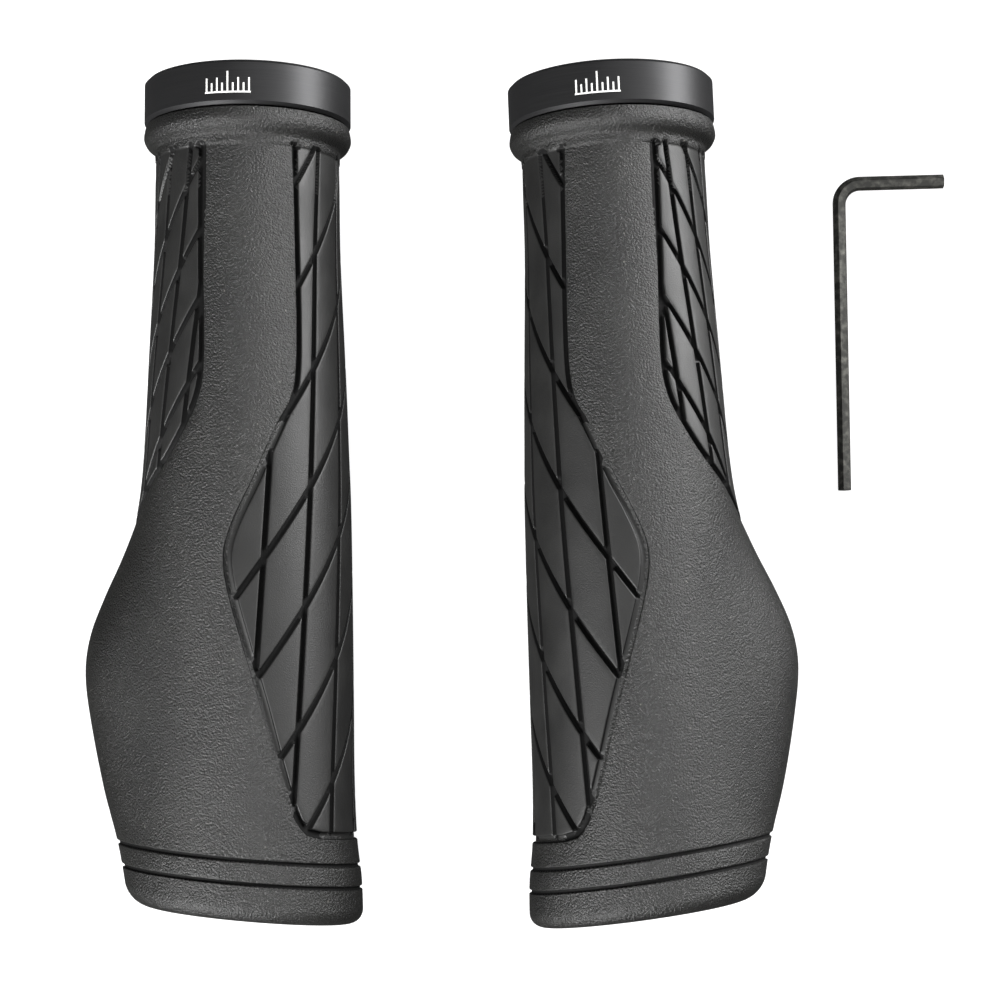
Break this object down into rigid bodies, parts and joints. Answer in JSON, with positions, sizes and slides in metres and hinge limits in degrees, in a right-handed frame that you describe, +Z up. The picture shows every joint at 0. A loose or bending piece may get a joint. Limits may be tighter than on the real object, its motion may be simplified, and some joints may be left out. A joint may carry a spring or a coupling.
{
  "type": "pair of bicycle handlebar grips",
  "caption": "Pair of ergonomic lock-on handlebar grips with palm wings, grooved rubber, clamp rings, clamp bolts, end plugs and a hex key.",
  "frame": {"origin": "centre of the set's bounding box, on the flat surface that the grips and the key lie on", "axes": "+Z up from the surface; +Y along the right-hand grip's bar axis, towards the clamp rings; +X from the right-hand grip to the left-hand grip and the key"},
  "size_m": [0.139, 0.1322, 0.0328],
  "materials": {
    "grip_rubber": "matte, finely grained moulded rubber",
    "core_plastic": "moulded glass-filled nylon",
    "plug_plastic": "moulded, fine spark texture",
    "black_anodised": "turned and black anodised, satin",
    "black_steel": "black oxide",
    "key_steel": "black oxide, worn lighter on one face"
  },
  "bodies": {
    "right_grip": {"right_core_sleeve": "core_plastic", "right_rubber_grip": "grip_rubber"},
    "right_ring": {"right_clamp_ring": "black_anodised"},
    "right_bolt": {"right_clamp_bolt": "black_steel"},
    "right_plug": {"right_end_plug": "plug_plastic"},
    "left_grip": {"left_core_sleeve": "core_plastic", "left_rubber_grip": "grip_rubber"},
    "left_ring": {"left_clamp_ring": "black_anodised"},
    "left_bolt": {"left_clamp_bolt": "black_steel"},
    "left_plug": {"left_end_plug": "plug_plastic"},
    "key": {"hex_key": "key_steel"}
  },
  "joints": [
    {"name": "right_ring_slide", "type": "slide", "parent": "right_grip", "child": "right_ring", "axis": [0, 1, 0], "range_m": [0, 0.012]},
    {"name": "right_bolt_turn", "type": "hinge", "parent": "right_ring", "child": "right_bolt", "pos_m": [-0.0372, 0.06265, 0.00497], "axis": [0.866, 0, 0.5], "continuous": true},
    {"name": "right_plug_pull", "type": "slide", "parent": "right_grip", "child": "right_plug", "axis": [0, -1, 0], "range_m": [0, 0.018]},
    {"name": "left_ring_slide", "type": "slide", "parent": "left_grip", "child": "left_ring", "axis": [-0.0314, 0.9995, 0], "range_m": [0, 0.012]},
    {"name": "left_bolt_turn", "type": "hinge", "parent": "left_ring", "child": "left_bolt", "pos_m": [0.00715, 0.06211, 0.00497], "axis": [-0.8656, -0.0272, 0.5], "continuous": true},
    {"name": "left_plug_pull", "type": "slide", "parent": "left_grip", "child": "left_plug", "axis": [0.0314, -0.9995, 0], "range_m": [0, 0.018]},
    {"name": "left_grip_lift", "type": "slide", "parent": "right_grip", "child": "left_grip", "axis": [0, 0, 1], "range_m": [0, 0.08]},
    {"name": "hex_key_lift", "type": "slide", "parent": "right_grip", "child": "key", "axis": [0, 0, 1], "range_m": [0, 0.05]}
  ]
}
